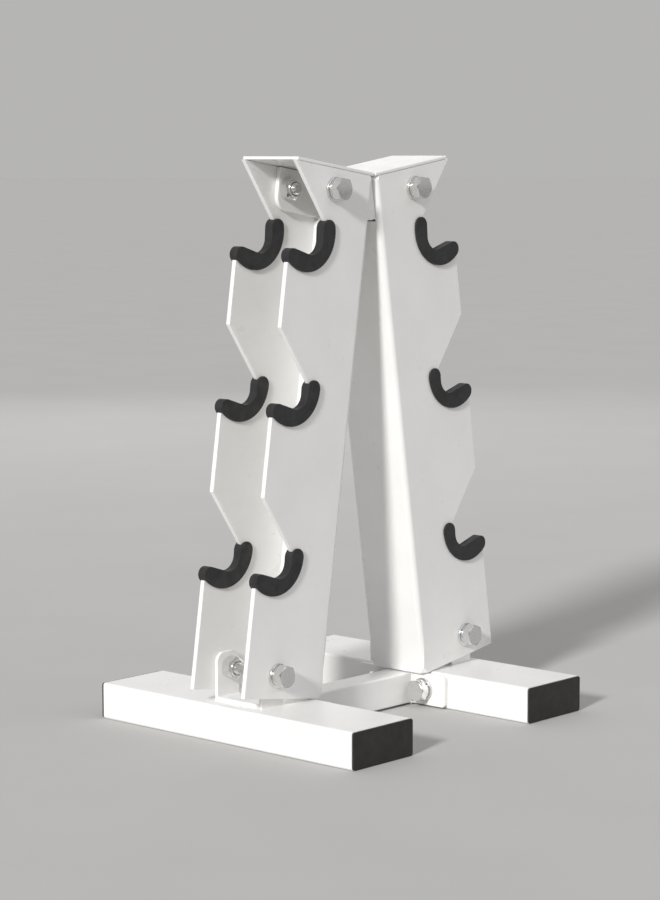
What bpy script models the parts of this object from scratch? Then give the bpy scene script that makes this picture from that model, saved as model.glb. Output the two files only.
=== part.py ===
"""Three-tier dumbbell rack: two leaning channel uprights on a pair of tube feet.

X runs across the rack, Y along the dumbbell handles with the front at -Y, and Z is up.
The origin is on the floor in the middle of the base. All lengths are in metres.
"""

import math

import bmesh
import bpy
from mathutils import Matrix, Vector
from mathutils.geometry import intersect_line_sphere_2d

# Clearance between pieces that touch.
GAP = 0.0003

# Uprights. "Out" runs from the web to the flange edge, and "down" runs from the top along the upright.
LEAN = math.radians(8.55)
APEX_HEIGHT = 0.4494
APEX_OFFSET = 0.0004
FORWARD = 0.0055  # how far the uprights stand in front of the middle of the feet
CHANNEL_WIDTH = 0.060
CHANNEL_DEPTH = 0.0915
CHANNEL_LENGTH = 0.4251
SHEET = 0.004
OUTER_BEND = 0.0045
INNER_BEND = 0.001

# Tiers, each from the bend where the flange edge turns in to the middle of its handle seat.
TIERS = ("top", "middle", "bottom")
BENDS_DOWN = (0.0040, 0.1340, 0.2675)
SEATS_DOWN = (0.0612, 0.1830, 0.3168)
SEAT_OUT = 0.066
INCLINE = Vector((-0.038, 0.0405))
NOTCH_RADIUS = 0.0208
SHELF_DROP = 0.0007

# Saddle pads, around the middle of the seat.
PAD_LIP = 0.0017
PAD_CUP_CENTRE = (0.0012, 0.0009)
PAD_CUP_RADIUS = 0.0122
PAD_BELLY_CENTRE = (0.0070, -0.0045)
PAD_BELLY_RADIUS = 0.0317
PAD_TOE_ANGLE = 56
PAD_TOE_RADIUS = 0.0064
PAD_TOE_SLOPE = 7
PAD_HORN_ANGLES = (193, 180, 180)
PAD_HORN_RADIUS = 0.0070

# Top joint.
TOP_PLATE = 0.0025
JOINER = 0.004
JOINER_OUT = 0.0555
JOINER_TOP = 0.0031
JOINER_BOTTOM = 0.0375
JOINER_CORNER = 0.012
WEB_NOTCH = 0.040

# Bolts through the flanges, (out, down).
TOP_BOLT = (0.046, 0.0195)
BASE_BOLT = (0.057, 0.4065)

# Feet and their end caps.
FOOT_WIDTH = 0.070
FOOT_HEIGHT = 0.030
FOOT_LENGTH = 0.2785
FOOT_WALL = 0.002
FOOT_CORNER = 0.0022
FOOT_MIDDLE = 0.1083
CAP_FLANGE = 0.0015
CAP_INSET = 0.0003
CAP_PLUG = 0.012

# Base brackets.
BRACKET = 0.003
BRACKET_INNER = 0.1055
BRACKET_OUTER = 0.1305
BRACKET_TOP = 0.069
BRACKET_CORNER = 0.008

# Cross-beam.
BEAM_WIDTH = 0.025
BEAM_HEIGHT = 0.0265
BEAM_WALL = 0.0015
BEAM_BOTTOM = 0.0015
BEAM_CORNER = 0.002
END_PLATE = 0.004
END_PLATE_LENGTH = 0.095
END_PLATE_HEIGHT = 0.0270
END_PLATE_CORNER = 0.003
BEAM_BOLT_FROM_MIDDLE = 0.0245
BEAM_BOLT_HEIGHT = 0.0148

# M10 fasteners.
SHANK_RADIUS = 0.00475
HOLE_RADIUS = 0.0054
ACROSS_FLATS = 0.017
HEAD_HEIGHT = 0.007
HEAD_CHAMFER = 0.0010
CHAMFER_SLOPE = math.radians(40)
WASHER_RADIUS = 0.0098
WASHER = 0.002
LOCK_WASHER_RADIUS = 0.0086
LOCK_WASHER = 0.0026
THREAD_BORE = 0.0051
NUT_HEIGHT = 0.008
COLLAR_HEIGHT = 0.0018
COLLAR_RADIUS = 0.0072
BOLT_BEYOND_NUT = 0.0025

ROUND = 16


# ---------------------------------------------------------------- scene and materials


def clear_scene():
    for obj in list(bpy.data.objects):
        bpy.data.objects.remove(obj)


def make_material(name, colour, roughness, metallic):
    material = bpy.data.materials.new(name)
    material.use_nodes = True
    material.diffuse_color = (*colour, 1)
    shader = material.node_tree.nodes["Principled BSDF"]
    shader.inputs["Base Color"].default_value = (*colour, 1)
    shader.inputs["Roughness"].default_value = roughness
    shader.inputs["Metallic"].default_value = metallic
    return material


def finish_of(kind):
    finishes = {
        "coat": ((0.86, 0.85, 0.84), 0.35, 0.0),
        "rubber": ((0.018, 0.018, 0.019), 0.8, 0.0),
        "plastic": ((0.032, 0.026, 0.023), 0.55, 0.0),
        "zinc": ((0.74, 0.73, 0.71), 0.22, 1.0),
    }
    return finishes[kind]


def make_collection(name):
    collection = bpy.data.collections.new(name)
    bpy.context.scene.collection.children.link(collection)
    return collection


def make_empty(name, collection, parent=None, location=(0, 0, 0), rotation=(0, 0, 0)):
    empty = bpy.data.objects.new(name, None)
    collection.objects.link(empty)
    empty.parent = parent
    empty.location = location
    empty.rotation_euler = rotation
    return empty


def add_part(name, mesh, finish, collection, parent=None, location=(0, 0, 0), rotation=(0, 0, 0)):
    """Each sub-part is its own object with its own material, so it takes a copy of the shared mesh."""
    obj = bpy.data.objects.new(name, mesh.copy())
    obj.data.name = name
    collection.objects.link(obj)
    obj.parent = parent
    obj.location = location
    obj.rotation_euler = rotation
    obj.data.materials.clear()
    obj.data.materials.append(make_material(name, *finish_of(finish)))
    return obj


# ---------------------------------------------------------------- shape helpers


def arc(centre, radius, start, end, steps):
    """Points on an arc about a centre, between two angles in degrees."""
    angles = [math.radians(start + (end - start) * i / steps) for i in range(steps + 1)]
    return [(centre[0] + radius * math.cos(a), centre[1] + radius * math.sin(a)) for a in angles]


def mesh_of(bm, name):
    mesh = bpy.data.meshes.new(name)
    bmesh.ops.recalc_face_normals(bm, faces=bm.faces)
    bm.to_mesh(mesh)
    bm.free()
    return mesh


def evaluated_mesh(obj):
    graph = bpy.context.evaluated_depsgraph_get()
    return bpy.data.meshes.new_from_object(obj.evaluated_get(graph))


def sheet(name, outline, thickness):
    """A flat sheet of (out, down) points, standing in the XZ plane with its thickness along Y."""
    curve = bpy.data.curves.new(name, "CURVE")
    curve.dimensions = "2D"
    curve.fill_mode = "BOTH"
    curve.extrude = thickness / 2
    spline = curve.splines.new("POLY")
    spline.points.add(len(outline) - 1)
    for point, (out, down) in zip(spline.points, outline):
        point.co = (out, -down, 0, 1)
    spline.use_cyclic_u = True
    guide = bpy.data.objects.new(name, curve)
    bpy.context.scene.collection.objects.link(guide)
    mesh = evaluated_mesh(guide)
    bpy.data.objects.remove(guide)
    bm = bmesh.new()
    bm.from_mesh(mesh)
    bmesh.ops.remove_doubles(bm, verts=bm.verts, dist=1e-6)
    bmesh.ops.rotate(bm, verts=bm.verts, matrix=Matrix.Rotation(math.pi / 2, 3, "X"))
    return mesh_of(bm, name)


def box(name, lowest, highest, corner=0.0, along=None, segments=3):
    """A box between two corners. Its edges that run along one axis can be rounded."""
    low = Vector(lowest)
    high = Vector(highest)
    bm = bmesh.new()
    bmesh.ops.create_cube(bm, size=1)
    bmesh.ops.scale(bm, vec=high - low, verts=bm.verts)
    bmesh.ops.translate(bm, vec=(low + high) / 2, verts=bm.verts)
    if corner:
        axis = "XYZ".index(along)
        edges = [e for e in bm.edges if abs((e.verts[0].co - e.verts[1].co)[axis]) > 1e-6]
        bmesh.ops.bevel(bm, geom=edges, offset=corner, segments=segments, profile=0.5, affect="EDGES")
    return mesh_of(bm, name)


def rod(name, radius, start, end, axis, centre=(0, 0, 0), sides=ROUND):
    """A bar along one axis, between two places on it."""
    turn = {"X": Matrix.Rotation(math.pi / 2, 3, "Y"), "Y": Matrix.Rotation(-math.pi / 2, 3, "X")}
    bm = bmesh.new()
    bmesh.ops.create_cone(
        bm, cap_ends=True, segments=sides, radius1=radius, radius2=radius, depth=end - start
    )
    bmesh.ops.translate(bm, vec=(0, 0, (start + end) / 2), verts=bm.verts)
    bmesh.ops.rotate(bm, verts=bm.verts, matrix=turn.get(axis, Matrix.Identity(3)))
    bmesh.ops.translate(bm, vec=centre, verts=bm.verts)
    return mesh_of(bm, name)


def combine(name, base, *steps, smooth_below=30):
    """The base mesh after each (operation, mesh) Boolean step, smooth where its faces bend gently."""
    helpers = [bpy.data.objects.new(name, base)]
    for operation, tool_mesh in steps:
        tool = bpy.data.objects.new(name, tool_mesh)
        modifier = helpers[0].modifiers.new(operation.title(), "BOOLEAN")
        modifier.operation = operation
        modifier.solver = "EXACT"
        modifier.object = tool
        helpers.append(tool)
    for helper in helpers:
        bpy.context.scene.collection.objects.link(helper)
    mesh = evaluated_mesh(helpers[0])
    for helper in helpers:
        bpy.data.objects.remove(helper)
    mesh.shade_smooth()
    mesh.set_sharp_from_angle(angle=math.radians(smooth_below))
    return mesh


# ---------------------------------------------------------------- uprights


def notch(bend, seat, inset):
    """The run of the flange edge from a bend to the end of the shelf, moved into the open by inset."""
    normal = Vector((-INCLINE.y, INCLINE.x)).normalized() * -inset
    start = Vector((CHANNEL_DEPTH, bend)) + normal
    centre = Vector((SEAT_OUT, seat))
    radius = NOTCH_RADIUS - inset
    crossings = intersect_line_sphere_2d(start, start + INCLINE, centre, radius, False)
    meeting = max(crossings, key=lambda point: point.y)
    angle = math.degrees(math.atan2(meeting.y - seat, meeting.x - SEAT_OUT)) % 360
    shelf_end = (CHANNEL_DEPTH + inset, seat + NOTCH_RADIUS + SHELF_DROP - inset)
    return [tuple(start), *arc(centre, radius, angle, 90, 14), shelf_end]


def flange_outline():
    top = TOP_PLATE + GAP
    top_out = CHANNEL_DEPTH + INCLINE.x / INCLINE.y * (top - BENDS_DOWN[0])
    points = [(0, top), (top_out, top)]
    for bend, seat in zip(BENDS_DOWN, SEATS_DOWN):
        run = notch(bend, seat, 0)
        points += run if bend > top else run[1:]
    return points + [(CHANNEL_DEPTH, CHANNEL_LENGTH), (0, CHANNEL_LENGTH)]


def round_long_edges(mesh, out, radius, segments):
    """Rounds the two bends that run down the upright at one distance out."""
    bm = bmesh.new()
    bm.from_mesh(mesh)
    bends = []
    for edge in bm.edges:
        ends = [v.co for v in edge.verts]
        down = abs(ends[0].z - ends[1].z) > CHANNEL_LENGTH / 2
        if down and all(abs(end.x - out) < 1e-5 for end in ends) and abs(ends[0].y - ends[1].y) < 1e-5:
            bends.append(edge)
    bmesh.ops.bevel(bm, geom=bends, offset=radius, segments=segments, profile=0.5, affect="EDGES")
    return mesh_of(bm, mesh.name)


def upright_mesh():
    """A C-channel, open outwards, with its web cut back at the top for the joiner plates."""
    blank = sheet("upright_blank", flange_outline(), CHANNEL_WIDTH)
    blank = round_long_edges(blank, 0, OUTER_BEND, 5)
    beyond = 0.02
    hollow_outline = [
        (SHEET, CHANNEL_LENGTH + beyond),
        (SHEET, WEB_NOTCH),
        (-beyond, WEB_NOTCH),
        (-beyond, -beyond),
        (CHANNEL_DEPTH + beyond, -beyond),
        (CHANNEL_DEPTH + beyond, CHANNEL_LENGTH + beyond),
    ]
    hollow = sheet("upright_hollow", hollow_outline, CHANNEL_WIDTH - 2 * SHEET)
    hollow = round_long_edges(hollow, SHEET, INNER_BEND, 3)
    steps = [("DIFFERENCE", hollow)]
    for out, down in (TOP_BOLT, BASE_BOLT):
        drill = rod("drill", HOLE_RADIUS, -CHANNEL_WIDTH, CHANNEL_WIDTH, "Y", (out, 0, -down))
        steps.append(("DIFFERENCE", drill))
    return combine("upright", blank, *steps)


def pad_outline(seat, horn):
    """A J-shaped cradle: a horn up the inner side, a round cup, and a toe that runs out to the edge."""
    cup_centre = (SEAT_OUT + PAD_CUP_CENTRE[0], seat + PAD_CUP_CENTRE[1])
    belly_centre = (SEAT_OUT + PAD_BELLY_CENTRE[0], seat + PAD_BELLY_CENTRE[1])
    toe_reach = PAD_BELLY_RADIUS - PAD_TOE_RADIUS
    horn_reach = PAD_BELLY_RADIUS - PAD_HORN_RADIUS
    toe_centre = arc(belly_centre, toe_reach, PAD_TOE_ANGLE, PAD_TOE_ANGLE, 1)[0]
    horn_centre = arc(belly_centre, horn_reach, horn, horn, 1)[0]
    points = arc(belly_centre, PAD_BELLY_RADIUS, horn, PAD_TOE_ANGLE, 20)
    points += arc(toe_centre, PAD_TOE_RADIUS, PAD_TOE_ANGLE, -90 - PAD_TOE_SLOPE, 9)[1:]
    points += arc(cup_centre, PAD_CUP_RADIUS, 90 - PAD_TOE_SLOPE, 180, 12)
    points += arc(horn_centre, PAD_HORN_RADIUS, 360, horn, 9)[:-1]
    return points


def pad_mesh(bend, seat, horn):
    """A pad that straddles the flange: the cradle outline, slotted for the sheet below it."""
    body = sheet("pad_body", pad_outline(seat, horn), SHEET + 2 * (GAP + PAD_LIP))
    below = seat + 2 * PAD_BELLY_RADIUS
    behind = SEAT_OUT - 2 * PAD_BELLY_RADIUS
    run = notch(bend, seat, GAP)
    slot_outline = [*run, (run[-1][0], below), (behind, below), (behind, run[0][1])]
    slot = sheet("pad_slot", slot_outline, SHEET + 2 * GAP)
    return combine("saddle_pad", body, ("DIFFERENCE", slot), smooth_below=40)


def top_plate_mesh():
    """The flat plate that closes the cut end of an upright."""
    lowest = (0, -CHANNEL_WIDTH / 2, -TOP_PLATE)
    highest = (CHANNEL_DEPTH, CHANNEL_WIDTH / 2, 0)
    return box("top_plate", lowest, highest, 0.001, "Z", 2)


# ---------------------------------------------------------------- plates and brackets


def place_of(out, down):
    """Where a point of the right-hand upright lies in the rack's XZ plane."""
    x = APEX_OFFSET + out * math.cos(LEAN) + down * math.sin(LEAN)
    z = APEX_HEIGHT + out * math.sin(LEAN) - down * math.cos(LEAN)
    return x, z


def joiner_mesh():
    """A gull-shaped plate that reaches into both uprights at the top."""
    corner = (JOINER_OUT - JOINER_CORNER, JOINER_BOTTOM - JOINER_CORNER)
    wing = [(JOINER_OUT, JOINER_TOP), *arc(corner, JOINER_CORNER, 0, 90, 8)]
    right = [place_of(out, down) for out, down in wing]
    middle = [place_of(-(APEX_OFFSET + down * math.sin(LEAN)) / math.cos(LEAN), down)
              for down in (JOINER_BOTTOM, JOINER_TOP)]
    left = [(-x, z) for x, z in reversed(right)]
    outline = [(x, -z) for x, z in [*right, middle[0], *left, middle[1]]]
    blank = sheet("joiner_blank", outline, JOINER)
    bolt_x, bolt_z = place_of(*TOP_BOLT)
    steps = []
    for side in (1, -1):
        drill = rod("drill", HOLE_RADIUS, -JOINER, JOINER, "Y", (side * bolt_x, 0, bolt_z))
        steps.append(("DIFFERENCE", drill))
    return combine("top_joiner", blank, *steps)


def bracket_mesh():
    """A U-shaped bracket: a base on the foot and an ear against each flange of the channel."""
    base_z = FOOT_HEIGHT + GAP
    width = CHANNEL_WIDTH - 2 * (SHEET + GAP)
    inner_corner = (BRACKET_INNER + BRACKET_CORNER, -(BRACKET_TOP - BRACKET_CORNER))
    outer_corner = (BRACKET_OUTER - BRACKET_CORNER, -(BRACKET_TOP - BRACKET_CORNER))
    outline = [(BRACKET_INNER, -base_z)]
    outline += arc(inner_corner, BRACKET_CORNER, 180, 270, 8)
    outline += arc(outer_corner, BRACKET_CORNER, 270, 360, 8)
    outline += [(BRACKET_OUTER, -base_z)]
    blank = sheet("bracket_blank", outline, width)
    beyond = 0.01
    lowest = (BRACKET_INNER - beyond, BRACKET - width / 2, base_z + BRACKET)
    highest = (BRACKET_OUTER + beyond, width / 2 - BRACKET, BRACKET_TOP + beyond)
    hollow = box("bracket_hollow", lowest, highest)
    bolt_x, bolt_z = place_of(*BASE_BOLT)
    drill = rod("drill", HOLE_RADIUS, -CHANNEL_WIDTH, CHANNEL_WIDTH, "Y", (bolt_x, 0, bolt_z))
    return combine("base_bracket", blank, ("DIFFERENCE", hollow), ("DIFFERENCE", drill))


# ---------------------------------------------------------------- feet and cross-beam


def foot_mesh(beam_y):
    """A rectangular tube, drilled on its inner face for the cross-beam's bolts."""
    half_width = FOOT_WIDTH / 2
    half_length = FOOT_LENGTH / 2 - CAP_FLANGE - GAP
    outer = box(
        "foot_outer", (-half_width, -half_length, 0), (half_width, half_length, FOOT_HEIGHT),
        FOOT_CORNER, "Y", 4,
    )
    bore_half = half_width - FOOT_WALL
    beyond = half_length + 0.01
    bore = box(
        "foot_bore",
        (-bore_half, -beyond, FOOT_WALL),
        (bore_half, beyond, FOOT_HEIGHT - FOOT_WALL),
    )
    steps = [("DIFFERENCE", bore)]
    for end in (-1, 1):
        centre = (-half_width, beam_y + end * BEAM_BOLT_FROM_MIDDLE, BEAM_BOLT_HEIGHT)
        steps.append(("DIFFERENCE", rod("drill", HOLE_RADIUS, -0.01, 0.01, "X", centre)))
    return combine("foot", outer, *steps)


def cap_mesh():
    """A plastic plug: a thin flange over the tube's end and a shallow cup inside it, pointing to +Y."""
    half_width = FOOT_WIDTH / 2 - CAP_INSET
    flange = box(
        "cap_flange", (-half_width, -CAP_FLANGE, CAP_INSET),
        (half_width, 0, FOOT_HEIGHT - CAP_INSET), FOOT_CORNER, "Y", 4,
    )
    fit = FOOT_WALL + GAP
    plug_half = FOOT_WIDTH / 2 - fit
    overlap = 0.0005
    plug = box(
        "cap_plug", (-plug_half, -overlap, fit), (plug_half, CAP_PLUG, FOOT_HEIGHT - fit), 0.001, "Y", 1
    )
    wall = 0.0018
    cup = box(
        "cap_cup", (wall - plug_half, GAP, fit + wall),
        (plug_half - wall, CAP_PLUG + fit, FOOT_HEIGHT - fit - wall),
    )
    return combine("end_cap", flange, ("UNION", plug), ("DIFFERENCE", cup))


def foot_inner_face():
    return FOOT_MIDDLE - FOOT_WIDTH / 2


def beam_mesh():
    """A box-section tube between the two end plates."""
    low = Vector((2 * GAP + END_PLATE - foot_inner_face(), -BEAM_WIDTH / 2, BEAM_BOTTOM))
    high = Vector((-low.x, BEAM_WIDTH / 2, BEAM_BOTTOM + BEAM_HEIGHT))
    beyond = Vector((0.01, -BEAM_WALL, -BEAM_WALL))
    outer = box("beam_outer", low, high, BEAM_CORNER, "X")
    bore = box("beam_bore", low - beyond, high + beyond)
    return combine("cross_beam", outer, ("DIFFERENCE", bore))


def end_plate_mesh():
    """The plate at one end of the cross-beam, bolted to the foot."""
    half = END_PLATE_LENGTH / 2
    blank = box(
        "end_plate_blank", (-END_PLATE, -half, 0), (0, half, END_PLATE_HEIGHT), END_PLATE_CORNER, "X"
    )
    steps = []
    for end in (-1, 1):
        centre = (0, end * BEAM_BOLT_FROM_MIDDLE, BEAM_BOLT_HEIGHT - BEAM_BOTTOM)
        steps.append(("DIFFERENCE", rod("drill", HOLE_RADIUS, -0.01, 0.01, "X", centre)))
    return combine("beam_end_plate", blank, *steps)


# ---------------------------------------------------------------- fasteners


def hexagon(name, bottom, top, chamfer_top, chamfer_bottom):
    """A hexagon bar whose corners are turned off at one end or both."""
    corner = ACROSS_FLATS / math.sqrt(3)
    flats = rod(name, corner, bottom, top, "Z", sides=6)
    profile = [(corner + HEAD_CHAMFER, bottom), (corner + HEAD_CHAMFER, top)]
    rise = HEAD_CHAMFER * math.tan(CHAMFER_SLOPE)
    low = [(corner - HEAD_CHAMFER, bottom), (corner, bottom + rise)] if chamfer_bottom else profile[:1]
    high = [(corner, top - rise), (corner - HEAD_CHAMFER, top)] if chamfer_top else profile[1:]
    turned = turned_solid(name, [*low, *high])
    return combine(name, flats, ("INTERSECT", turned))


def turned_solid(name, outer):
    """A solid turned about Z from (radius, height) points, listed from the lowest to the highest."""
    profile = bpy.data.meshes.new(name)
    points = [(0, outer[0][1]), *outer, (0, outer[-1][1])]
    points.reverse()
    profile.from_pydata([(r, 0, z) for r, z in points], [(i, i + 1) for i in range(len(points) - 1)], [])
    spindle = bpy.data.objects.new(name, profile)
    bpy.context.scene.collection.objects.link(spindle)
    screw = spindle.modifiers.new("Screw", "SCREW")
    screw.steps = ROUND
    screw.render_steps = ROUND
    screw.use_merge_vertices = True
    screw.merge_threshold = 0.00001
    mesh = evaluated_mesh(spindle)
    bpy.data.objects.remove(spindle)
    bm = bmesh.new()
    bm.from_mesh(mesh)
    return mesh_of(bm, name)


def grip_of(joint):
    """From the washer's bearing face to the nut's, through the two plates of a joint."""
    plates = {"top": SHEET + JOINER, "base": SHEET + BRACKET, "beam": END_PLATE + FOOT_WALL}
    return plates[joint] + 3 * GAP


def bolt_mesh(grip):
    """A hexagon bolt with its flat and lock washers, along +Z from the bearing face. Its shank runs down."""
    length = grip + NUT_HEIGHT + COLLAR_HEIGHT + BOLT_BEYOND_NUT
    point = 0.001
    shank = [
        (SHANK_RADIUS - point, -length),
        (SHANK_RADIUS, point - length),
        (SHANK_RADIUS, 0),
        (WASHER_RADIUS, 0),
        (WASHER_RADIUS, WASHER),
        (LOCK_WASHER_RADIUS, WASHER),
        (LOCK_WASHER_RADIUS, WASHER + LOCK_WASHER),
    ]
    under_head = WASHER + LOCK_WASHER
    head = hexagon("bolt_head", under_head - GAP, under_head + HEAD_HEIGHT, True, False)
    return combine("bolt", turned_solid("bolt_shank", shank), ("UNION", head), smooth_below=35)


def nut_mesh():
    """A lock nut with a round collar, along -Z from its bearing face."""
    body = hexagon("nut_body", -NUT_HEIGHT, 0, False, True)
    collar = rod("nut_collar", COLLAR_RADIUS, -NUT_HEIGHT - COLLAR_HEIGHT, GAP - NUT_HEIGHT, "Z")
    thread = rod("nut_thread", THREAD_BORE, -2 * NUT_HEIGHT, NUT_HEIGHT, "Z")
    return combine("nut", body, ("UNION", collar), ("DIFFERENCE", thread), smooth_below=35)


def add_fastener_pair(names, grip, meshes, collection, parent, seat, rotation):
    """A bolt from the outer face of a joint and the nut on its inner face, on one axis."""
    bolt_name, nut_name = names
    bolt, nut = meshes
    add_part(bolt_name, bolt, "zinc", collection, parent, seat, rotation)
    axis = Vector((0, 0, 1))
    axis.rotate(bpy.data.objects[bolt_name].rotation_euler)
    nut_seat = Vector(seat) - axis * grip
    add_part(nut_name, nut, "zinc", collection, parent, nut_seat, rotation)


# ---------------------------------------------------------------- assembly


def build_upright(side, turn, collection, meshes):
    """One leaning upright with its pads and bolts. The left one is the right one turned half round."""
    root = make_empty(f"{side}_side", collection, location=(0, -FORWARD, 0), rotation=(0, 0, turn))
    apex = (APEX_OFFSET, 0, APEX_HEIGHT)
    lean = make_empty(f"{side}_lean", collection, root, apex, (0, -LEAN, 0))
    add_part(f"upright_{side}", meshes["upright"], "coat", collection, lean)
    add_part(f"top_plate_{side}", meshes["top_plate"], "coat", collection, lean)
    add_part(f"base_bracket_{side}", meshes["bracket"], "coat", collection, root)
    outside = CHANNEL_WIDTH / 2 + GAP
    for local_end in (-1, 1):
        end = "front" if local_end * math.cos(turn) < 0 else "rear"
        facing = (-local_end * math.pi / 2, 0, 0)
        for joint, (out, down) in (("top", TOP_BOLT), ("base", BASE_BOLT)):
            names = (f"{joint}_bolt_{side}_{end}", f"{joint}_nut_{side}_{end}")
            seat = (out, local_end * outside, -down)
            grip = grip_of(joint)
            pair = (meshes[f"{joint}_bolt"], meshes["nut"])
            add_fastener_pair(names, grip, pair, collection, lean, seat, facing)
        for tier in TIERS:
            middle = (0, local_end * (CHANNEL_WIDTH - SHEET) / 2, 0)
            pad = meshes[f"pad_{tier}"]
            add_part(f"saddle_pad_{side}_{end}_{tier}", pad, "rubber", collection, lean, middle)


def build_foot(side, turn, collection, meshes):
    """One foot with its two caps and its end of the cross-beam."""
    root = make_empty(f"{side}_base", collection, rotation=(0, 0, turn))
    beam_y = -FORWARD * math.cos(turn)
    add_part(f"foot_{side}", meshes[f"foot_{side}"], "coat", collection, root, (FOOT_MIDDLE, 0, 0))
    plate_x = foot_inner_face() - GAP
    plate_at = (plate_x, beam_y, BEAM_BOTTOM)
    add_part(f"beam_end_plate_{side}", meshes["end_plate"], "coat", collection, root, plate_at)
    grip = grip_of("beam")
    for local_end in (-1, 1):
        end = "front" if local_end * math.cos(turn) < 0 else "rear"
        cap_at = (FOOT_MIDDLE, local_end * (FOOT_LENGTH / 2 - CAP_FLANGE), 0)
        cap_turn = math.pi if local_end > 0 else 0
        cap_name = f"end_cap_{side}_{end}"
        add_part(cap_name, meshes["cap"], "plastic", collection, root, cap_at, (0, 0, cap_turn))
        names = (f"beam_bolt_{side}_{end}", f"beam_nut_{side}_{end}")
        bolt_y = beam_y + local_end * BEAM_BOLT_FROM_MIDDLE
        seat = (plate_x - END_PLATE - GAP, bolt_y, BEAM_BOLT_HEIGHT)
        pair = (meshes["beam_bolt"], meshes["nut"])
        add_fastener_pair(names, grip, pair, collection, root, seat, (0, -math.pi / 2, 0))


def make_meshes():
    meshes = {
        "upright": upright_mesh(),
        "top_plate": top_plate_mesh(),
        "bracket": bracket_mesh(),
        "joiner": joiner_mesh(),
        "foot_right": foot_mesh(-FORWARD),
        "foot_left": foot_mesh(FORWARD),
        "cap": cap_mesh(),
        "beam": beam_mesh(),
        "end_plate": end_plate_mesh(),
        "nut": nut_mesh(),
    }
    for joint in ("top", "base", "beam"):
        meshes[f"{joint}_bolt"] = bolt_mesh(grip_of(joint))
    for tier, bend, seat, horn in zip(TIERS, BENDS_DOWN, SEATS_DOWN, PAD_HORN_ANGLES):
        meshes[f"pad_{tier}"] = pad_mesh(bend, seat, horn)
    return meshes


def main():
    clear_scene()
    collection = make_collection("dumbbell_rack")
    meshes = make_meshes()
    for side, turn in (("right", 0), ("left", math.pi)):
        build_upright(side, turn, collection, meshes)
        build_foot(side, turn, collection, meshes)
    joiner_y = CHANNEL_WIDTH / 2 - SHEET - GAP - JOINER / 2
    for end, sign in (("front", -1), ("rear", 1)):
        place = (0, sign * joiner_y - FORWARD, 0)
        add_part(f"top_joiner_{end}", meshes["joiner"], "coat", collection, location=place)
    add_part("cross_beam", meshes["beam"], "coat", collection, location=(0, -FORWARD, 0))


main()
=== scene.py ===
"""The looks of the dumbbell rack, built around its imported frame.

X runs across the rack, Y along the dumbbell handles with the front at -Y, and Z is up. All lengths
are in metres. Every piece takes its place from the CAD node that it stands for.
"""

import math

import bmesh
import bpy
from mathutils import Matrix, Vector


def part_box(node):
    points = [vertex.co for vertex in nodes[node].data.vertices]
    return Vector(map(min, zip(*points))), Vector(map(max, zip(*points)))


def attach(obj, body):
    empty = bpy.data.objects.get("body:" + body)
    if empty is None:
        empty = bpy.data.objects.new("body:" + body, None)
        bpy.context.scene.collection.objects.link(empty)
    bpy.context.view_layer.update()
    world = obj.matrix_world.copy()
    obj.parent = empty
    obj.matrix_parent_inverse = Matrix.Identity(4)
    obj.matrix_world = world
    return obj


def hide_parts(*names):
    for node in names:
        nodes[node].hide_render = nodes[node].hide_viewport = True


# Camera.
CAMERA_PLACE = (-1.57111, -1.40677, 0.46920)
CAMERA_AZIMUTH = math.radians(-47.883)
CAMERA_ELEVATION = math.radians(6.683)
CAMERA_ROLL = math.radians(-0.084)
SENSOR = 36.0
LENS = 103.012

# Light.
KEY_FROM = (-0.87, -0.22, 0.43)
KEY_STRENGTH = 2.7
KEY_SPREAD = math.radians(8)
AMBIENT_LOW = 0.26
AMBIENT_HIGH = 0.54
WALL = (0.465, 0.462, 0.451)

# Rounding of edges, by what the piece is made of.
SHEET_EDGE = 0.0005
TUBE_EDGE = 0.0003
PAD_EDGE = 0.0011
CAP_EDGE = 0.0005

# Corners nearer to each other than this are one corner.
MERGE = 0.000004

# M10 fasteners.
ACROSS_FLATS = 0.017
HEXAGON_RADIUS = ACROSS_FLATS / math.sqrt(3)
HEXAGON_SOFTNESS = 0.0003
TURNED_RADIUS = HEXAGON_RADIUS + 0.0002
OVERSHOOT = 0.001
HEAD_HEIGHT = 0.007
HEAD_FACE = 0.0083
FACE_DISH = 0.00025
SHANK_RADIUS = 0.00475
SHANK_END_RADIUS = 0.0043
SHANK_LEAD = 0.0004
WASHER = 0.002
WASHER_RADIUS = 0.0098
LOCK_WASHER = 0.0026
LOCK_WASHER_RADIUS = 0.0086
LOCK_WASHER_SPLIT = math.radians(9)
LOCK_WASHER_RISE = 0.0005
WASHER_BORE = 0.0053
LOCK_WASHER_BORE = 0.0052
UNDER_HEAD = WASHER + LOCK_WASHER
CHAMFER_SLOPE = math.radians(30)
NUT_HEIGHT = 0.008
NUT_BORE = 0.0050
NUT_FACE = 0.0083
NUT_SHOULDER = 0.0079
COLLAR_HEIGHT = 0.0018
COLLAR_RADIUS = 0.0072
PITCH = 0.0015
CREST_RADIUS = 0.00482
ROOT_RADIUS = 0.00412
THREAD_FLAT = 0.1
THREAD_TAPER = 0.0012
THREAD_SIDES = 40
ROWS_PER_TURN = 8
PLAIN_SHANK = 0.0060
ROUND = 64

# Weld beads.
BEAM_BEAD = 0.0012
BRACKET_BEAD = 0.0007
RIPPLE_PITCH = 0.0017
RIPPLE_DEPTH = 0.10
BEAD_DRIFT = 0.05
BEAD_DRIFT_RATE = 310
BEAD_STEP = 0.0004
BEAD_SIDES = 12

ZINC = "zinc"
COAT = "powder_coat"
RUBBER = "rubber"
PLASTIC = "plastic"

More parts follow.
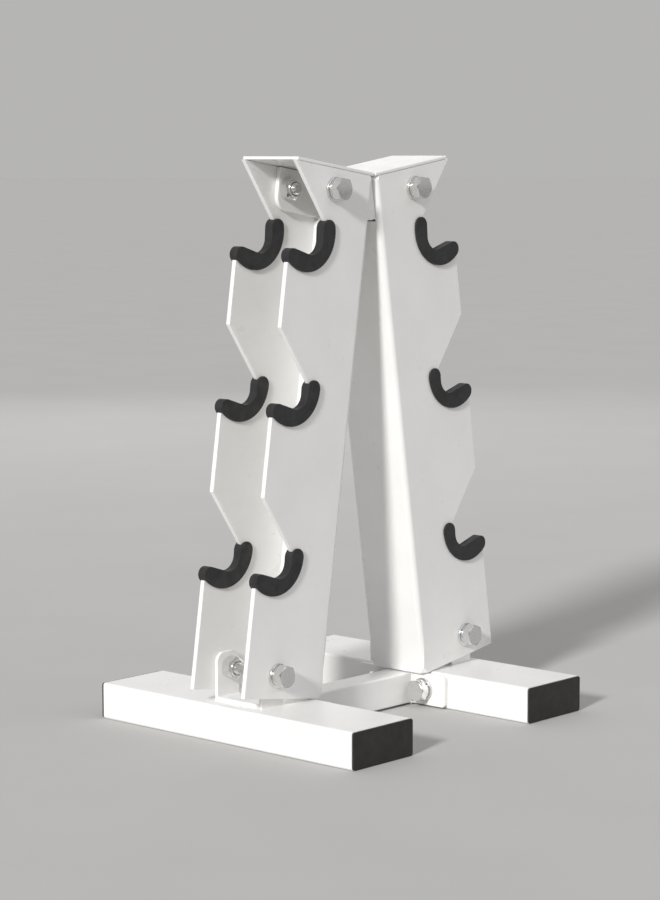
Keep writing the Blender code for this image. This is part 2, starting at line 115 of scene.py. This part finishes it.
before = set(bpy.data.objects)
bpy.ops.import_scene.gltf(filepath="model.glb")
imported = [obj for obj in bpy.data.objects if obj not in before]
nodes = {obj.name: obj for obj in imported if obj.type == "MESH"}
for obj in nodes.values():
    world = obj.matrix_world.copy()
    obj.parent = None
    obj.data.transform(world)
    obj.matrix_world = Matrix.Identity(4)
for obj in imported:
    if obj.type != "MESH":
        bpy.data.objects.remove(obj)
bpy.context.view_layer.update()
materials = {}


# ---------------------------------------------------------------- shader helpers


class Shader:
    """A Principled material with short calls for the procedural nodes that feed it."""

    def __init__(self, name, **settings):
        self.material = bpy.data.materials.new(name)
        self.material.use_nodes = True
        self.tree = self.material.node_tree
        self.principled = self.tree.nodes["Principled BSDF"]
        for socket, value in settings.items():
            self.principled.inputs[socket.replace("_", " ")].default_value = value
        self.place = self.tree.nodes.new("ShaderNodeTexCoord").outputs["Object"]

    def link(self, source, target):
        self.tree.links.new(source, target)

    def noise(self, scale, detail=2.0, roughness=0.5, stretch=(1, 1, 1)):
        """Noise with about `scale` features to the metre."""
        mapping = self.tree.nodes.new("ShaderNodeMapping")
        mapping.inputs["Scale"].default_value = stretch
        self.link(self.place, mapping.inputs["Vector"])
        texture = self.tree.nodes.new("ShaderNodeTexNoise")
        texture.inputs["Scale"].default_value = scale
        texture.inputs["Detail"].default_value = detail
        texture.inputs["Roughness"].default_value = roughness
        self.link(mapping.outputs["Vector"], texture.inputs["Vector"])
        return texture.outputs["Fac"]

    def cells(self, scale):
        texture = self.tree.nodes.new("ShaderNodeTexVoronoi")
        texture.inputs["Scale"].default_value = scale
        self.link(self.place, texture.inputs["Vector"])
        return texture.outputs["Distance"]

    def spread(self, source, low, high, start=0.3, stop=0.7):
        """The source's middle range, mapped to run from low to high."""
        node = self.tree.nodes.new("ShaderNodeMapRange")
        node.inputs["From Min"].default_value = start
        node.inputs["From Max"].default_value = stop
        node.inputs["To Min"].default_value = low
        node.inputs["To Max"].default_value = high
        self.link(source, node.inputs["Value"])
        return node.outputs["Result"]

    def blend(self, factor, first, second):
        node = self.tree.nodes.new("ShaderNodeMix")
        node.data_type = "RGBA"
        colours = [socket for socket in node.inputs if socket.type == "RGBA"]
        for socket, colour in zip(colours, (first, second)):
            if isinstance(colour, tuple):
                socket.default_value = (*colour, 1)
            else:
                self.link(colour, socket)
        self.link(factor, node.inputs[0])
        return next(socket for socket in node.outputs if socket.type == "RGBA")

    def bumps(self, *layers):
        """Bump layers, each (height source, depth in metres), one on top of the other."""
        normal = None
        for height, depth in layers:
            bump = self.tree.nodes.new("ShaderNodeBump")
            bump.inputs["Strength"].default_value = 1.0
            bump.inputs["Distance"].default_value = depth
            self.link(height, bump.inputs["Height"])
            if normal is not None:
                self.link(normal, bump.inputs["Normal"])
            normal = bump.outputs["Normal"]
        self.link(normal, self.principled.inputs["Normal"])

    def colour(self, source):
        self.link(source, self.principled.inputs["Base Color"])

    def roughness(self, source):
        self.link(source, self.principled.inputs["Roughness"])


def powder_coat():
    """Satin white powder coat: orange peel, a slow drift in gloss and tone, and fine grey nibs."""
    shader = Shader("white_powder_coat", IOR=1.5)
    drift = shader.spread(shader.noise(22, 3), 0, 1)
    tone = shader.blend(drift, (0.885, 0.880, 0.868), (0.925, 0.922, 0.915))
    nibs = shader.spread(shader.noise(1700, 1), 0, 1, 0.735, 0.80)
    shader.colour(shader.blend(nibs, tone, (0.80, 0.79, 0.77)))
    shader.roughness(shader.spread(shader.noise(60, 4), 0.27, 0.40))
    peel = shader.noise(430, 2, 0.45)
    grain = shader.noise(1900, 2)
    shader.bumps((peel, 0.00009), (grain, 0.000012))
    return shader.material


def moulded_rubber():
    """Matte black rubber: a fine moulded grain, a faint bloom and rubbed patches."""
    shader = Shader("black_rubber", IOR=1.5, Sheen_Weight=0.06, Sheen_Roughness=0.5)
    bloom = shader.spread(shader.noise(95, 5, 0.6), 0, 1, 0.35, 0.75)
    tone = shader.blend(bloom, (0.012, 0.012, 0.0125), (0.026, 0.026, 0.027))
    dust = shader.spread(shader.noise(2600, 2), 0, 1, 0.70, 0.82)
    shader.colour(shader.blend(dust, tone, (0.07, 0.07, 0.07)))
    shader.roughness(shader.spread(shader.noise(120, 4), 0.62, 0.84))
    shader.bumps((shader.noise(700, 3), 0.00006), (shader.cells(1500), 0.00005))
    return shader.material


def moulded_plastic():
    """Dark brown-black polyethylene with a spark-eroded stipple."""
    shader = Shader("dark_plastic", IOR=1.5)
    drift = shader.spread(shader.noise(70, 3), 0, 1)
    shader.colour(shader.blend(drift, (0.016, 0.0135, 0.012), (0.024, 0.0205, 0.0185)))
    shader.roughness(shader.spread(shader.noise(150, 4), 0.46, 0.62))
    shader.bumps((shader.cells(1300), 0.00005), (shader.noise(3000, 2), 0.00002))
    return shader.material


def bright_zinc():
    """Bright zinc plate: clear, with fine handling scratches, a faint warm and blue passivate."""
    shader = Shader("bright_zinc", Metallic=1.0)
    drift = shader.spread(shader.noise(180, 3), 0, 1)
    tone = shader.blend(drift, (0.79, 0.775, 0.745), (0.76, 0.775, 0.79))
    dull = shader.spread(shader.noise(900, 4, 0.65), 0, 1, 0.56, 0.78)
    shader.colour(shader.blend(dull, tone, (0.62, 0.61, 0.59)))
    shader.roughness(shader.spread(shader.noise(500, 5, 0.6), 0.13, 0.30))
    scratches = shader.noise(2400, 2, 0.5, (1, 0.12, 0.4))
    shader.bumps((shader.noise(260, 3), 0.00003), (scratches, 0.000006))
    return shader.material


# ---------------------------------------------------------------- mesh helpers


def evaluated_mesh(obj):
    graph = bpy.context.evaluated_depsgraph_get()
    return bpy.data.meshes.new_from_object(obj.evaluated_get(graph))


def add_piece(name, mesh, slot, replaced=(), place=None):
    """A finished mesh becomes a piece that rides on the rack and stands for its CAD nodes."""
    piece = bpy.data.objects.new(name, mesh)
    bpy.context.scene.collection.objects.link(piece)
    mesh.materials.clear()
    mesh.materials.append(materials[slot])
    if place is not None:
        mesh.transform(place)
    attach(piece, "root")
    if replaced:
        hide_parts(*replaced)


def mesh_of(bm, name, smooth_below=30):
    mesh = bpy.data.meshes.new(name)
    bmesh.ops.recalc_face_normals(bm, faces=bm.faces)
    bm.to_mesh(mesh)
    bm.free()
    mesh.shade_smooth()
    mesh.set_sharp_from_angle(angle=math.radians(smooth_below))
    return mesh


def node_mesh(node):
    """A clean copy of a CAD node's mesh: its corners welded and its flat faces whole."""
    bm = bmesh.new()
    bm.from_mesh(nodes[node].data)
    bmesh.ops.remove_doubles(bm, verts=bm.verts, dist=MERGE)
    bmesh.ops.dissolve_limit(
        bm, angle_limit=math.radians(0.4), use_dissolve_boundaries=False, verts=bm.verts, edges=bm.edges
    )
    return mesh_of(bm, node)


def rounded(mesh, radius, segments, bend):
    """The mesh with every edge that turns more than `bend` degrees rounded off."""
    helper = bpy.data.objects.new(mesh.name, mesh)
    bpy.context.scene.collection.objects.link(helper)
    bevel = helper.modifiers.new("Bevel", "BEVEL")
    bevel.width = radius
    bevel.segments = segments
    bevel.limit_method = "ANGLE"
    bevel.angle_limit = math.radians(bend)
    bevel.miter_outer = "MITER_ARC"
    bevel.use_clamp_overlap = True
    weld = helper.modifiers.new("Weld", "WELD")
    weld.merge_threshold = MERGE
    weighted = helper.modifiers.new("Weighted normals", "WEIGHTED_NORMAL")
    weighted.keep_sharp = False
    mesh.shade_smooth()
    result = evaluated_mesh(helper)
    bpy.data.objects.remove(helper)
    return result


def finish_node(node, prefix, slot, radius, segments=3, bend=30):
    mesh = rounded(node_mesh(node), radius, segments, bend)
    mesh.name = f"{prefix}_{node}"
    add_piece(mesh.name, mesh, slot, [node])


def turned(name, outline, smooth_below=35):
    """A solid turned about Z from (radius, height) points that start and end on the axis."""
    bm = bmesh.new()
    points = [bm.verts.new((radius, 0, height)) for radius, height in outline]
    edges = [bm.edges.new(pair) for pair in zip(points, points[1:])]
    bmesh.ops.spin(
        bm, geom=[*points, *edges], cent=(0, 0, 0), axis=(0, 0, 1), dvec=(0, 0, 0),
        angle=2 * math.pi, steps=ROUND, use_merge=True, use_duplicate=False,
    )
    bmesh.ops.remove_doubles(bm, verts=bm.verts, dist=MERGE)
    return mesh_of(bm, name, smooth_below)


def hexagon_bar(bottom, top):
    """A hexagon bar with slightly rounded corners."""
    bm = bmesh.new()
    bmesh.ops.create_cone(
        bm, cap_ends=True, segments=6, radius1=HEXAGON_RADIUS, radius2=HEXAGON_RADIUS,
        depth=top - bottom,
    )
    bmesh.ops.translate(bm, vec=(0, 0, (top + bottom) / 2), verts=bm.verts)
    upright_edges = [e for e in bm.edges if abs(e.verts[0].co.z - e.verts[1].co.z) > MERGE]
    bmesh.ops.bevel(
        bm, geom=upright_edges, offset=HEXAGON_SOFTNESS, segments=2, profile=0.5, affect="EDGES"
    )
    return mesh_of(bm, "hexagon")


def intersection(name, first, second):
    """The solid that two closed meshes share."""
    helpers = [bpy.data.objects.new(name, first), bpy.data.objects.new(name, second)]
    for helper in helpers:
        bpy.context.scene.collection.objects.link(helper)
    modifier = helpers[0].modifiers.new("Boolean", "BOOLEAN")
    modifier.operation = "INTERSECT"
    modifier.solver = "EXACT"
    modifier.object = helpers[1]
    bm = bmesh.new()
    bm.from_mesh(evaluated_mesh(helpers[0]))
    for helper in helpers:
        bpy.data.objects.remove(helper)
    bmesh.ops.remove_doubles(bm, verts=bm.verts, dist=MERGE)
    bmesh.ops.dissolve_degenerate(bm, edges=bm.edges, dist=MERGE)
    return mesh_of(bm, name, 25)


def joined(name, *meshes):
    """Several closed meshes as one."""
    bm = bmesh.new()
    for mesh in meshes:
        bm.from_mesh(mesh)
    result = bpy.data.meshes.new(name)
    bm.to_mesh(result)
    bm.free()
    return result


# ---------------------------------------------------------------- fasteners


def washer_mesh():
    """A flat washer with soft rims."""
    inner = WASHER_BORE
    outer = WASHER_RADIUS
    soft = 0.0003
    outline = [
        (inner, 0), (outer - soft, 0), (outer, soft), (outer, WASHER - soft),
        (outer - soft, WASHER), (inner + soft, WASHER), (inner, WASHER - soft), (inner, 0),
    ]
    return turned("washer", outline, smooth_below=50)


def lock_washer_mesh():
    """A split spring washer: a square-section coil whose two cut ends stand slightly apart."""
    inner = LOCK_WASHER_BORE
    outer = LOCK_WASHER_RADIUS
    height = LOCK_WASHER - LOCK_WASHER_RISE
    soft = 0.0002
    section = [
        (inner, soft), (inner + soft, 0), (outer - soft, 0), (outer, soft),
        (outer, height - soft), (outer - soft, height), (inner + soft, height), (inner, height - soft),
    ]
    steps = 72
    bm = bmesh.new()
    rings = []
    for step in range(steps + 1):
        angle = LOCK_WASHER_SPLIT / 2 + (2 * math.pi - LOCK_WASHER_SPLIT) * step / steps
        lift = WASHER + LOCK_WASHER_RISE * step / steps
        across = Vector((math.cos(angle), math.sin(angle), 0))
        rings.append([bm.verts.new(r * across + Vector((0, 0, z + lift))) for r, z in section])
    for first, second in zip(rings, rings[1:]):
        for index in range(len(section)):
            after = (index + 1) % len(section)
            bm.faces.new((first[index], first[after], second[after], second[index]))
    bm.faces.new(list(reversed(rings[0])))
    bm.faces.new(rings[-1])
    return mesh_of(bm, "lock_washer", 50)


def head_mesh():
    """A hexagon head with its corners turned off, a shallow dished face and a soft rim."""
    top = UNDER_HEAD + HEAD_HEIGHT
    outer = TURNED_RADIUS
    drop = (outer - HEAD_FACE) * math.tan(CHAMFER_SLOPE)
    rim = 0.0006
    dish_start = top + 0.00005 - FACE_DISH / 2
    envelope = turned("head_envelope", [
        (0, UNDER_HEAD), (outer - rim, UNDER_HEAD), (outer, UNDER_HEAD + rim / 2),
        (outer, top - drop), (HEAD_FACE, top), (HEAD_FACE - rim, dish_start),
        (HEAD_FACE - 3 * rim, top - FACE_DISH), (0, top - FACE_DISH),
    ])
    return intersection("head", hexagon_bar(UNDER_HEAD - OVERSHOOT, top + OVERSHOOT), envelope)


def thread_mesh(end, start):
    """A closed rod with a helical thread, running from `end` (the low tip) up to `start`."""
    bm = bmesh.new()
    sides = THREAD_SIDES
    rows = math.ceil((start - end) / (PITCH / ROWS_PER_TURN))
    rings = []
    for row in range(rows + 1):
        height = end + (start - end) * row / rows
        ring = []
        for side in range(sides):
            angle = 2 * math.pi * side / sides
            phase = (height / PITCH - side / sides) % 1
            wave = abs(2 * phase - 1)
            tooth = min(1.0, max(0.0, (wave - THREAD_FLAT) / (1 - 2 * THREAD_FLAT)))
            radius = ROOT_RADIUS + (CREST_RADIUS - ROOT_RADIUS) * tooth
            limit = CREST_RADIUS - max(0.0, end + THREAD_TAPER - height)
            radius = min(radius, limit)
            ring.append(bm.verts.new((radius * math.cos(angle), radius * math.sin(angle), height)))
        rings.append(ring)
    for low, high in zip(rings, rings[1:]):
        for side in range(sides):
            after = (side + 1) % sides
            bm.faces.new((low[side], low[after], high[after], high[side]))
    bm.faces.new(list(reversed(rings[0])))
    bm.faces.new(rings[-1])
    return mesh_of(bm, "thread", 40)


def nut_mesh():
    """A lock nut: a hexagon turned off at its bearing side and a crimped collar round the insert."""
    outer = TURNED_RADIUS
    drop = (outer - NUT_FACE) * math.tan(CHAMFER_SLOPE)
    rise = (outer - NUT_SHOULDER) * math.tan(CHAMFER_SLOPE)
    envelope = turned("nut_envelope", [
        (NUT_BORE, 0), (NUT_FACE, 0), (outer, -drop), (outer, rise - NUT_HEIGHT),
        (NUT_SHOULDER, -NUT_HEIGHT), (NUT_BORE, -NUT_HEIGHT), (NUT_BORE, 0),
    ])
    body = intersection("nut_body", hexagon_bar(-NUT_HEIGHT - OVERSHOOT, OVERSHOOT), envelope)
    curl = 0.0007
    inner = NUT_BORE + 0.0006
    root = 0.0005 - NUT_HEIGHT
    tip = -NUT_HEIGHT - COLLAR_HEIGHT
    collar = turned("nut_collar", [
        (inner, root), (COLLAR_RADIUS, root), (COLLAR_RADIUS, tip + curl),
        (COLLAR_RADIUS - curl * 0.3, tip + curl * 0.3), (COLLAR_RADIUS - curl, tip),
        (inner + 0.0006, tip), (inner, tip + 0.0006), (inner, root),
    ], smooth_below=60)
    return joined("lock_nut", body, collar)


def fastener_place(node):
    """The node's outer end, as a matrix whose +Z points outward along its axis, and its length."""
    outward = outward_of(node)
    low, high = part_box(node)
    length = (high - low).dot(Vector(map(abs, outward)))
    end = (low + high + length * outward) / 2
    return Matrix.Translation(end) @ outward.to_track_quat("Z", "Y").to_matrix().to_4x4(), length


def spin_of(name):
    """Each fastener was tightened to its own angle, worked out from its name."""
    return math.radians(sum(ord(letter) * (place + 3) for place, letter in enumerate(name)) % 60)


def outward_of(node):
    """The way a bolt's head points."""
    joint, _, side, end = node.split("_")
    if joint == "beam":
        return Vector((1, 0, 0) if side == "left" else (-1, 0, 0))
    return Vector((0, -1, 0) if end == "front" else (0, 1, 0))


def build_bolt(node, shared):
    """A bolt from its bearing face: its head and washers stand above, and its shank runs down."""
    end, length = fastener_place(node)
    head_top = UNDER_HEAD + HEAD_HEIGHT
    bearing = end @ Matrix.Translation((0, 0, -head_top))
    spin = Matrix.Rotation(spin_of(node), 4, "Z")
    thread = thread_mesh(head_top - length, -PLAIN_SHANK)
    shank_end = -PLAIN_SHANK - SHANK_LEAD
    plain = turned("shank", [
        (0, shank_end), (SHANK_END_RADIUS, shank_end),
        (SHANK_RADIUS, -PLAIN_SHANK), (SHANK_RADIUS, UNDER_HEAD), (0, UNDER_HEAD),
    ])
    bolt = joined(node, shared["head"], plain, thread)
    lock_washer = shared["lock_washer"].copy()
    add_piece(f"plated_{node}", bolt, ZINC, [node], bearing @ spin)
    add_piece(f"washer_of_{node}", shared["washer"].copy(), ZINC, (), bearing)
    add_piece(f"lock_washer_of_{node}", lock_washer, ZINC, (), bearing @ spin)


def build_nut(node, shared):
    end, _ = fastener_place(node)
    spin = Matrix.Rotation(spin_of(node), 4, "Z")
    add_piece(f"plated_{node}", shared["nut"].copy(), ZINC, [node], end @ spin)


def build_fasteners():
    shared = {
        "head": head_mesh(),
        "washer": washer_mesh(),
        "lock_washer": lock_washer_mesh(),
        "nut": nut_mesh(),
    }
    for node in sorted(nodes):
        if "_bolt_" in node:
            build_bolt(node, shared)
        elif "_nut_" in node:
            build_nut(node, shared)


# ---------------------------------------------------------------- weld beads


def rounded_loop(corners, radius):
    """Points a step apart round a closed loop with rounded corners."""
    path = []
    for index, corner in enumerate(corners):
        here = Vector(corner)
        before = (Vector(corners[index - 1]) - here).normalized()
        after = (Vector(corners[(index + 1) % len(corners)]) - here).normalized()
        for share in range(7):
            t = share / 6
            path.append(here + radius * (before * (1 - t) ** 2 + after * t ** 2))
    path.append(path[0])
    points = []
    for start, end in zip(path, path[1:]):
        pieces = max(1, round((end - start).length / BEAD_STEP))
        points += [start.lerp(end, piece / pieces) for piece in range(pieces)]
    return points


def bead_mesh(name, corners, radius, normal):
    """A weld bead round a closed loop: a rod whose overlapping ripples lean along its run."""
    points = rounded_loop(corners, 2 * radius)
    bm = bmesh.new()
    rings = []
    travelled = 0.0
    for index, point in enumerate(points):
        following = points[(index + 1) % len(points)]
        along = (following - points[index - 1]).normalized()
        across = along.cross(normal).normalized()
        out = across.cross(along).normalized()
        if index:
            travelled += (point - points[index - 1]).length
        phase = (travelled / RIPPLE_PITCH) % 1
        drift = BEAD_DRIFT * (math.sin(travelled * BEAD_DRIFT_RATE) - 1)
        swell = 1 + RIPPLE_DEPTH * (1 - phase) ** 2 + drift
        ring = []
        for side in range(BEAD_SIDES):
            angle = 2 * math.pi * side / BEAD_SIDES
            offset = math.cos(angle) * across + math.sin(angle) * out
            ring.append(bm.verts.new(point + radius * swell * offset))
        rings.append(ring)
    for low, high in zip(rings, [*rings[1:], rings[0]]):
        for side in range(BEAD_SIDES):
            after = (side + 1) % BEAD_SIDES
            bm.faces.new((low[side], low[after], high[after], high[side]))
    return mesh_of(bm, name, 70)


def build_beam_welds():
    """A bead round each end of the cross-beam, where it meets its end plate."""
    low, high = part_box("cross_beam")
    for side, x in (("left", low.x), ("right", high.x)):
        corners = [(x, low.y, low.z), (x, high.y, low.z), (x, high.y, high.z), (x, low.y, high.z)]
        mesh = bead_mesh(f"weld_beam_{side}", corners, BEAM_BEAD, Vector((1, 0, 0)))
        add_piece(mesh.name, mesh, COAT)


def build_bracket_welds():
    """A bead round the foot of each base bracket, on the tube."""
    tube_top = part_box("foot_left")[1].z
    for side in ("left", "right"):
        low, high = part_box(f"base_bracket_{side}")
        corners = [
            (low.x, low.y, tube_top), (high.x, low.y, tube_top),
            (high.x, high.y, tube_top), (low.x, high.y, tube_top),
        ]
        mesh = bead_mesh(f"weld_bracket_{side}", corners, BRACKET_BEAD, Vector((0, 0, 1)))
        add_piece(mesh.name, mesh, COAT)


# ---------------------------------------------------------------- stage


def build_floor():
    """A wide matt floor in a plain pale tone."""
    bm = bmesh.new()
    bmesh.ops.create_circle(bm, cap_ends=True, segments=96, radius=40)
    floor = bpy.data.objects.new("floor", mesh_of(bm, "floor"))
    bpy.context.scene.collection.objects.link(floor)
    shader = Shader("pale_floor", Roughness=1.0, Specular_IOR_Level=0.0)
    cloud = shader.spread(shader.noise(6, 3), 0, 1)
    shader.colour(shader.blend(cloud, (0.540, 0.535, 0.528), (0.555, 0.550, 0.543)))
    floor.data.materials.append(shader.material)


def area_light(name, place, aim, size, power, colour):
    data = bpy.data.lights.new(name, "AREA")
    data.shape = "RECTANGLE"
    data.size, data.size_y = size
    data.energy = power
    data.color = colour
    light = bpy.data.objects.new(name, data)
    bpy.context.scene.collection.objects.link(light)
    light.location = place
    light.rotation_euler = (Vector(aim) - Vector(place)).to_track_quat("-Z", "Y").to_euler()


def build_lights():
    """A broad soft key far off to the left, and two weak large panels for the metal to reflect."""
    data = bpy.data.lights.new("key", "SUN")
    data.energy = KEY_STRENGTH
    data.angle = KEY_SPREAD
    data.color = (1.0, 0.985, 0.965)
    key = bpy.data.objects.new("key", data)
    bpy.context.scene.collection.objects.link(key)
    key.rotation_euler = Vector(KEY_FROM).to_track_quat("Z", "Y").to_euler()
    middle = (0, 0, 0.22)
    area_light("front_panel", (0.9, -2.6, 1.5), middle, (1.8, 1.2), 5, (0.97, 0.98, 1.0))
    area_light("rear_panel", (1.6, 1.9, 1.2), middle, (1.4, 1.4), 5, (1.0, 0.98, 0.95))


def build_world():
    """A pale studio, brighter above than at the horizon. The camera sees a plain wall tone."""
    world = bpy.data.worlds.new("studio")
    bpy.context.scene.world = world
    world.use_nodes = True
    tree = world.node_tree
    background = tree.nodes["Background"]
    background.inputs["Strength"].default_value = 1.0
    place = tree.nodes.new("ShaderNodeTexCoord")
    split = tree.nodes.new("ShaderNodeSeparateXYZ")
    tree.links.new(place.outputs["Generated"], split.inputs["Vector"])
    height = tree.nodes.new("ShaderNodeMapRange")
    height.inputs["From Min"].default_value = -0.1
    height.inputs["From Max"].default_value = 0.9
    height.inputs["To Min"].default_value = AMBIENT_LOW
    height.inputs["To Max"].default_value = AMBIENT_HIGH
    tree.links.new(split.outputs["Z"], height.inputs["Value"])
    seen = tree.nodes.new("ShaderNodeLightPath")
    tone = tree.nodes.new("ShaderNodeMix")
    tone.data_type = "RGBA"
    colours = [socket for socket in tone.inputs if socket.type == "RGBA"]
    colours[1].default_value = (*WALL, 1)
    tree.links.new(height.outputs["Result"], colours[0])
    tree.links.new(seen.outputs["Is Camera Ray"], tone.inputs[0])
    result = next(socket for socket in tone.outputs if socket.type == "RGBA")
    tree.links.new(result, background.inputs["Color"])


def build_camera():
    data = bpy.data.cameras.new("camera")
    data.sensor_width = SENSOR
    data.lens = LENS
    data.clip_end = 200
    camera = bpy.data.objects.new("camera", data)
    bpy.context.scene.collection.objects.link(camera)
    camera.matrix_world = (
        Matrix.Translation(CAMERA_PLACE)
        @ Matrix.Rotation(CAMERA_AZIMUTH, 4, "Z")
        @ Matrix.Rotation(math.pi / 2 - CAMERA_ELEVATION, 4, "X")
        @ Matrix.Rotation(CAMERA_ROLL, 4, "Z")
    )
    bpy.context.scene.camera = camera


# ---------------------------------------------------------------- build


def build_painted_steel():
    for node in sorted(nodes):
        kind = node.split("_")[0]
        if kind in ("upright", "top", "base", "beam") and "_bolt_" not in node and "_nut_" not in node:
            finish_node(node, "painted", COAT, SHEET_EDGE)
        elif kind in ("foot", "cross"):
            finish_node(node, "painted", COAT, TUBE_EDGE)


def build_mouldings():
    for node in sorted(nodes):
        if node.startswith("saddle_pad"):
            finish_node(node, "moulded", RUBBER, PAD_EDGE, 4, 40)
        elif node.startswith("end_cap"):
            finish_node(node, "moulded", PLASTIC, CAP_EDGE)


def main():
    materials.update({
        COAT: powder_coat(),
        RUBBER: moulded_rubber(),
        PLASTIC: moulded_plastic(),
        ZINC: bright_zinc(),
    })
    build_camera()
    build_painted_steel()
    build_mouldings()
    build_fasteners()
    build_beam_welds()
    build_bracket_welds()
    build_floor()
    build_lights()
    build_world()
    bpy.context.scene.view_settings.view_transform = "Standard"


main()
